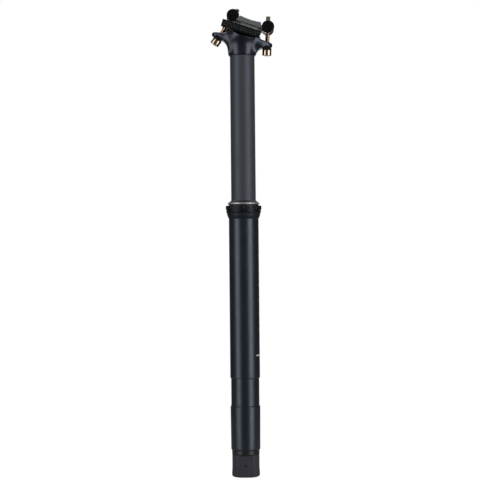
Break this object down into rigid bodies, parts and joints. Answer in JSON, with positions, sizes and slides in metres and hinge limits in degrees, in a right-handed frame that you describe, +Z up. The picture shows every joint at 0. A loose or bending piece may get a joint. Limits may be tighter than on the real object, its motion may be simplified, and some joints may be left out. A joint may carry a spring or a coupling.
{
  "type": "dropper seatpost",
  "caption": "Telescoping bicycle seatpost with a sliding inner tube, a tilting saddle rail clamp on two bolts and a cable-operated release at its foot.",
  "frame": {"origin": "on the post's axis at the underside of the collar, where the top of the frame's seat tube stops", "axes": "+Z up along the post, +X forward towards the handlebars, +Y to the rider's left"},
  "size_m": [0.0677, 0.0544, 0.4968],
  "materials": {
    "barrel_black": "black oxide",
    "barrel_brass": "machined",
    "bolt_copper": "copper-coloured coating",
    "bumper_rubber": "matte",
    "bushing_polymer": "matte glide polymer",
    "clamp_silver": "glossy clear anodised",
    "collar_black": "satin anodised",
    "cradle_black": "satin anodised",
    "forged_black": "satin anodised forging",
    "housing_black": "matte anodised",
    "inner_aluminium": "machined",
    "key_brass": "machined",
    "lever_aluminium": "machined",
    "pin_steel": "ground",
    "plug_black": "satin anodised",
    "ring_grey": "matte clear anodised",
    "rod_chrome": "polished",
    "screw_black": "black oxide",
    "screw_steel": "zinc plated",
    "seal_rubber": "matte",
    "spring_steel": "bright",
    "stanchion_grey": "polished hard anodised",
    "tube_black": "satin hard anodised, bead blasted",
    "washer_black": "black oxide",
    "wiper_rubber": "matte"
  },
  "bodies": {
    "outer": {"outer_tube": "tube_black", "collar_cap": "collar_black", "upper_bushing": "bushing_polymer", "wiper_seal": "wiper_rubber", "wiper_ring": "ring_grey", "base_plug": "plug_black", "plug_o_ring": "seal_rubber", "bottom_out_bumper": "bumper_rubber", "piston_rod": "rod_chrome", "main_piston": "inner_aluminium", "piston_band": "bushing_polymer", "rod_nut": "screw_steel", "actuator_housing": "housing_black", "housing_screws": "screw_black", "lever_pivot_pin": "pin_steel", "release_spring": "spring_steel"},
    "post": {"stanchion_tube": "stanchion_grey", "head": "forged_black", "lower_bushing": "bushing_polymer", "anti_rotation_keys": "key_brass", "cartridge_cylinder": "inner_aluminium", "cylinder_end_cap": "inner_aluminium", "fill_screw": "screw_steel", "seal_head": "inner_aluminium", "rod_seal": "seal_rubber", "snap_ring": "spring_steel"},
    "gas_piston": {"floating_piston": "inner_aluminium", "floating_piston_seal": "seal_rubber"},
    "rail_clamp": {"cradle": "cradle_black", "upper_clamp": "clamp_silver"},
    "rear_clamp_bolt": {"rear_bolt": "bolt_copper", "rear_half_moon": "washer_black"},
    "front_clamp_bolt": {"front_bolt": "bolt_copper", "front_half_moon": "washer_black"},
    "rear_barrel": {"rear_barrel_nut": "barrel_black"},
    "front_barrel": {"front_barrel_nut": "barrel_black"},
    "lever": {"actuator_lever": "lever_aluminium"},
    "cable_end": {"cable_barrel": "barrel_brass", "barrel_set_screw": "screw_black"},
    "valve_pin": {"release_pin": "pin_steel", "valve_poppet": "key_brass"}
  },
  "joints": [
    {"name": "post_slide", "type": "slide", "parent": "outer", "child": "post", "axis": [0, 0, 1], "range_m": [-0.15, 0], "stiffness_N_per_m": 300, "springref_m": 0.5},
    {"name": "gas_piston_slide", "type": "slide", "parent": "post", "child": "gas_piston", "axis": [0, 0, 1], "range_m": [0, 0.024]},
    {"name": "clamp_tilt", "type": "hinge", "parent": "post", "child": "rail_clamp", "pos_m": [0.01079, 0, 0.22504], "axis": [0, 1, 0], "range_deg": [-8, 8]},
    {"name": "rear_bolt_swing", "type": "hinge", "parent": "post", "child": "rear_clamp_bolt", "pos_m": [-0.02697, 0, 0.18915], "axis": [0, 1, 0], "range_deg": [-5.2, 5.2]},
    {"name": "front_bolt_swing", "type": "hinge", "parent": "post", "child": "front_clamp_bolt", "pos_m": [0.02627, 0, 0.17782], "axis": [0, 1, 0], "range_deg": [-7.1, 7.1]},
    {"name": "rear_barrel_turn", "type": "hinge", "parent": "rail_clamp", "child": "rear_barrel", "pos_m": [-0.00948, 0, 0.21474], "axis": [0, 1, 0], "range_deg": [-13.2, 13.2]},
    {"name": "front_barrel_turn", "type": "hinge", "parent": "rail_clamp", "child": "front_barrel", "pos_m": [0.02741, 0, 0.2024], "axis": [0, 1, 0], "range_deg": [-15.1, 15.1]},
    {"name": "lever_pull", "type": "hinge", "parent": "outer", "child": "lever", "pos_m": [0, 0, -0.2608], "axis": [0, 1, 0], "range_deg": [0, 30], "stiffness_Nm_per_rad": 0.02, "springref_deg": -11.46},
    {"name": "cable_end_swivel", "type": "hinge", "parent": "lever", "child": "cable_end", "pos_m": [0.0083, 0, -0.25858], "axis": [0, 1, 0], "range_deg": [-30, 0]},
    {"name": "valve_pin_slide", "type": "slide", "parent": "outer", "child": "valve_pin", "axis": [0, 0, 1], "range_m": [0, 0.0022], "deforming": ["release_spring"]}
  ],
  "couplings": [
    {"joint": "gas_piston_slide", "follows": "post_slide", "ratio": -0.16},
    {"joint": "rear_bolt_swing", "follows": "clamp_tilt", "ratio": -0.635},
    {"joint": "front_bolt_swing", "follows": "clamp_tilt", "ratio": -0.873},
    {"joint": "rear_barrel_turn", "follows": "clamp_tilt", "ratio": -1.635},
    {"joint": "front_barrel_turn", "follows": "clamp_tilt", "ratio": -1.873},
    {"joint": "cable_end_swivel", "follows": "lever_pull", "ratio": -1},
    {"joint": "valve_pin_slide", "follows": "lever_pull", "m_per_rad": 0.0042}
  ]
}
